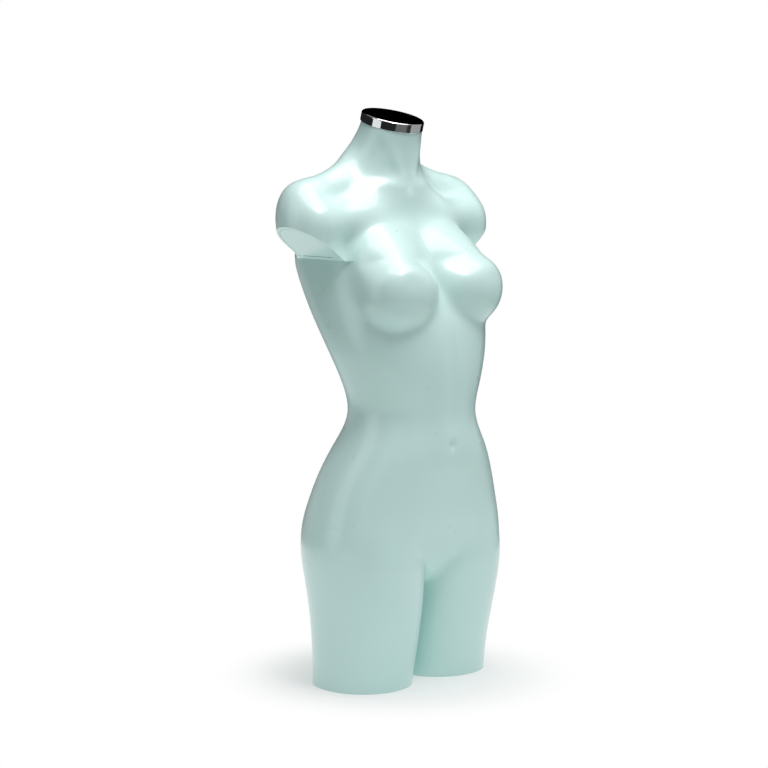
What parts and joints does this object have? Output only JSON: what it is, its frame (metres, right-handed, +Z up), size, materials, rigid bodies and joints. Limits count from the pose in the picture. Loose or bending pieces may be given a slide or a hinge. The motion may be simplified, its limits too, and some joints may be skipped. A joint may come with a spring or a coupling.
{
  "type": "mannequin torso form",
  "caption": "Headless, armless female torso form cut at mid-thigh, gloss white moulded shell, chromed lift-out neck cap, stand socket in one thigh.",
  "frame": {"origin": "centre of the bounding box's footprint, on the plane of the two flat thigh bases", "axes": "+Z up along the body, -Y the front of the figure, +X the figure's own left"},
  "size_m": [0.392, 0.2452, 0.8376],
  "materials": {
    "shell": "gloss",
    "resin": "satin",
    "board": "satin",
    "brass": "satin",
    "steel": "brushed",
    "chrome": "mirror"
  },
  "bodies": {
    "torso": {"front_shell": "shell", "back_shell": "shell", "left_arm_plate": "shell", "right_arm_plate": "shell", "left_seam_tape": "resin", "right_seam_tape": "resin", "left_inner_tape": "resin", "right_inner_tape": "resin", "left_thigh_board": "board", "right_thigh_board": "board", "neck_block": "board", "neck_bush": "brass", "neck_bush_screws": "steel", "stand_flange": "steel", "stand_socket_tube": "steel", "stand_flange_screws": "steel"},
    "cap": {"neck_cap": "chrome", "cap_disc": "board", "cap_peg": "steel", "cap_peg_washer": "steel", "cap_peg_nut": "steel"}
  },
  "joints": [
    {"name": "neck_cap_lift", "type": "slide", "parent": "torso", "child": "cap", "axis": [0, -0.2672, 0.9636], "range_m": [0, 0.034]}
  ]
}
